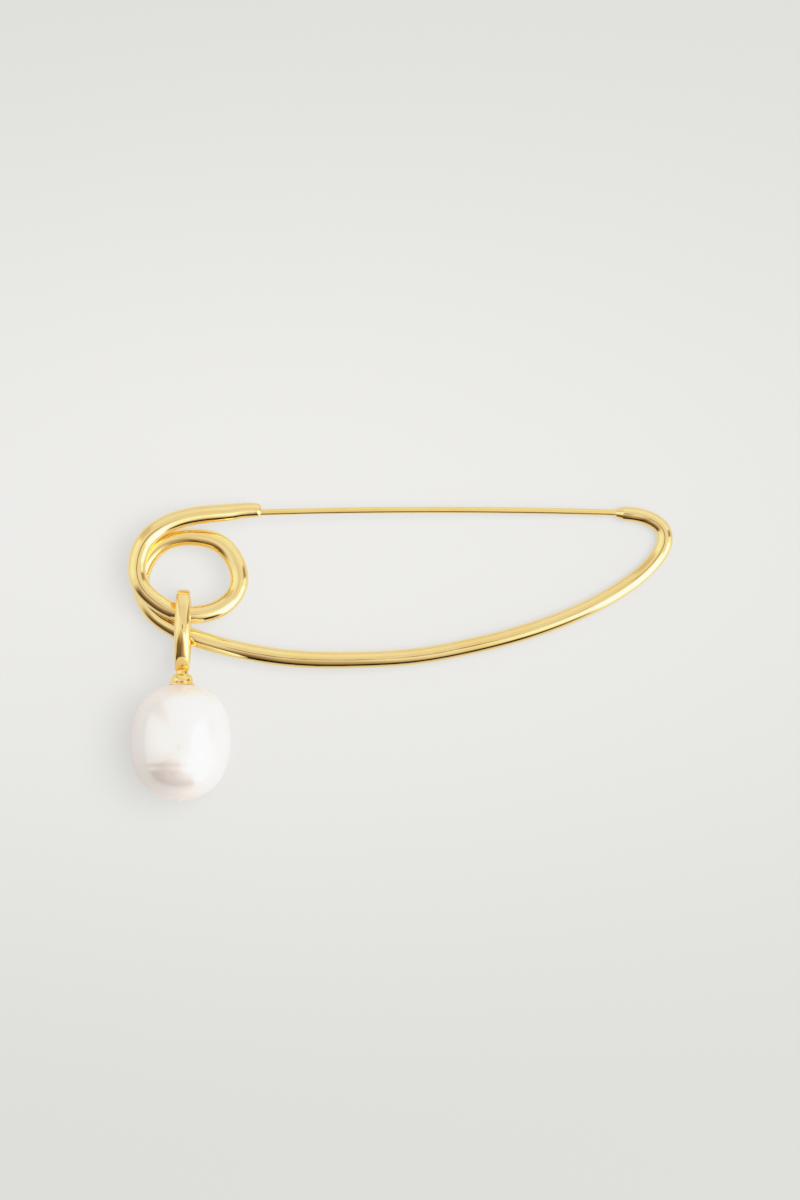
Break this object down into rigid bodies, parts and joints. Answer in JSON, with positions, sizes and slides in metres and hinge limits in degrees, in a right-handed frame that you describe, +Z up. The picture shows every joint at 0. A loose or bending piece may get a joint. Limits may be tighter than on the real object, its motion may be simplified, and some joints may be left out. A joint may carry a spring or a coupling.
{
  "type": "pearl brooch",
  "caption": "Safety-pin style brooch of bent gold wire with an oval coil, a slim pin stem caught in a hook, and a drop pearl on a loop bail.",
  "frame": {"origin": "on the surface that the brooch lies on, under the middle of its outline seen from above", "axes": "+X along the pin stem to the hook, +Y from the pearl to the pin stem, +Z up off the surface"},
  "size_m": [0.0704, 0.0385, 0.0131],
  "materials": {
    "gold": "mirror-polished pale gold plating",
    "stem_gold": "drawn wire, gold plated, slightly satin",
    "nacre": "lustrous white nacre with a faint pink tone"
  },
  "bodies": {
    "root": {"frame_wire": "gold", "pin_stem": "stem_gold", "pearl_bail": "gold", "pearl": "nacre"}
  },
  "joints": []
}
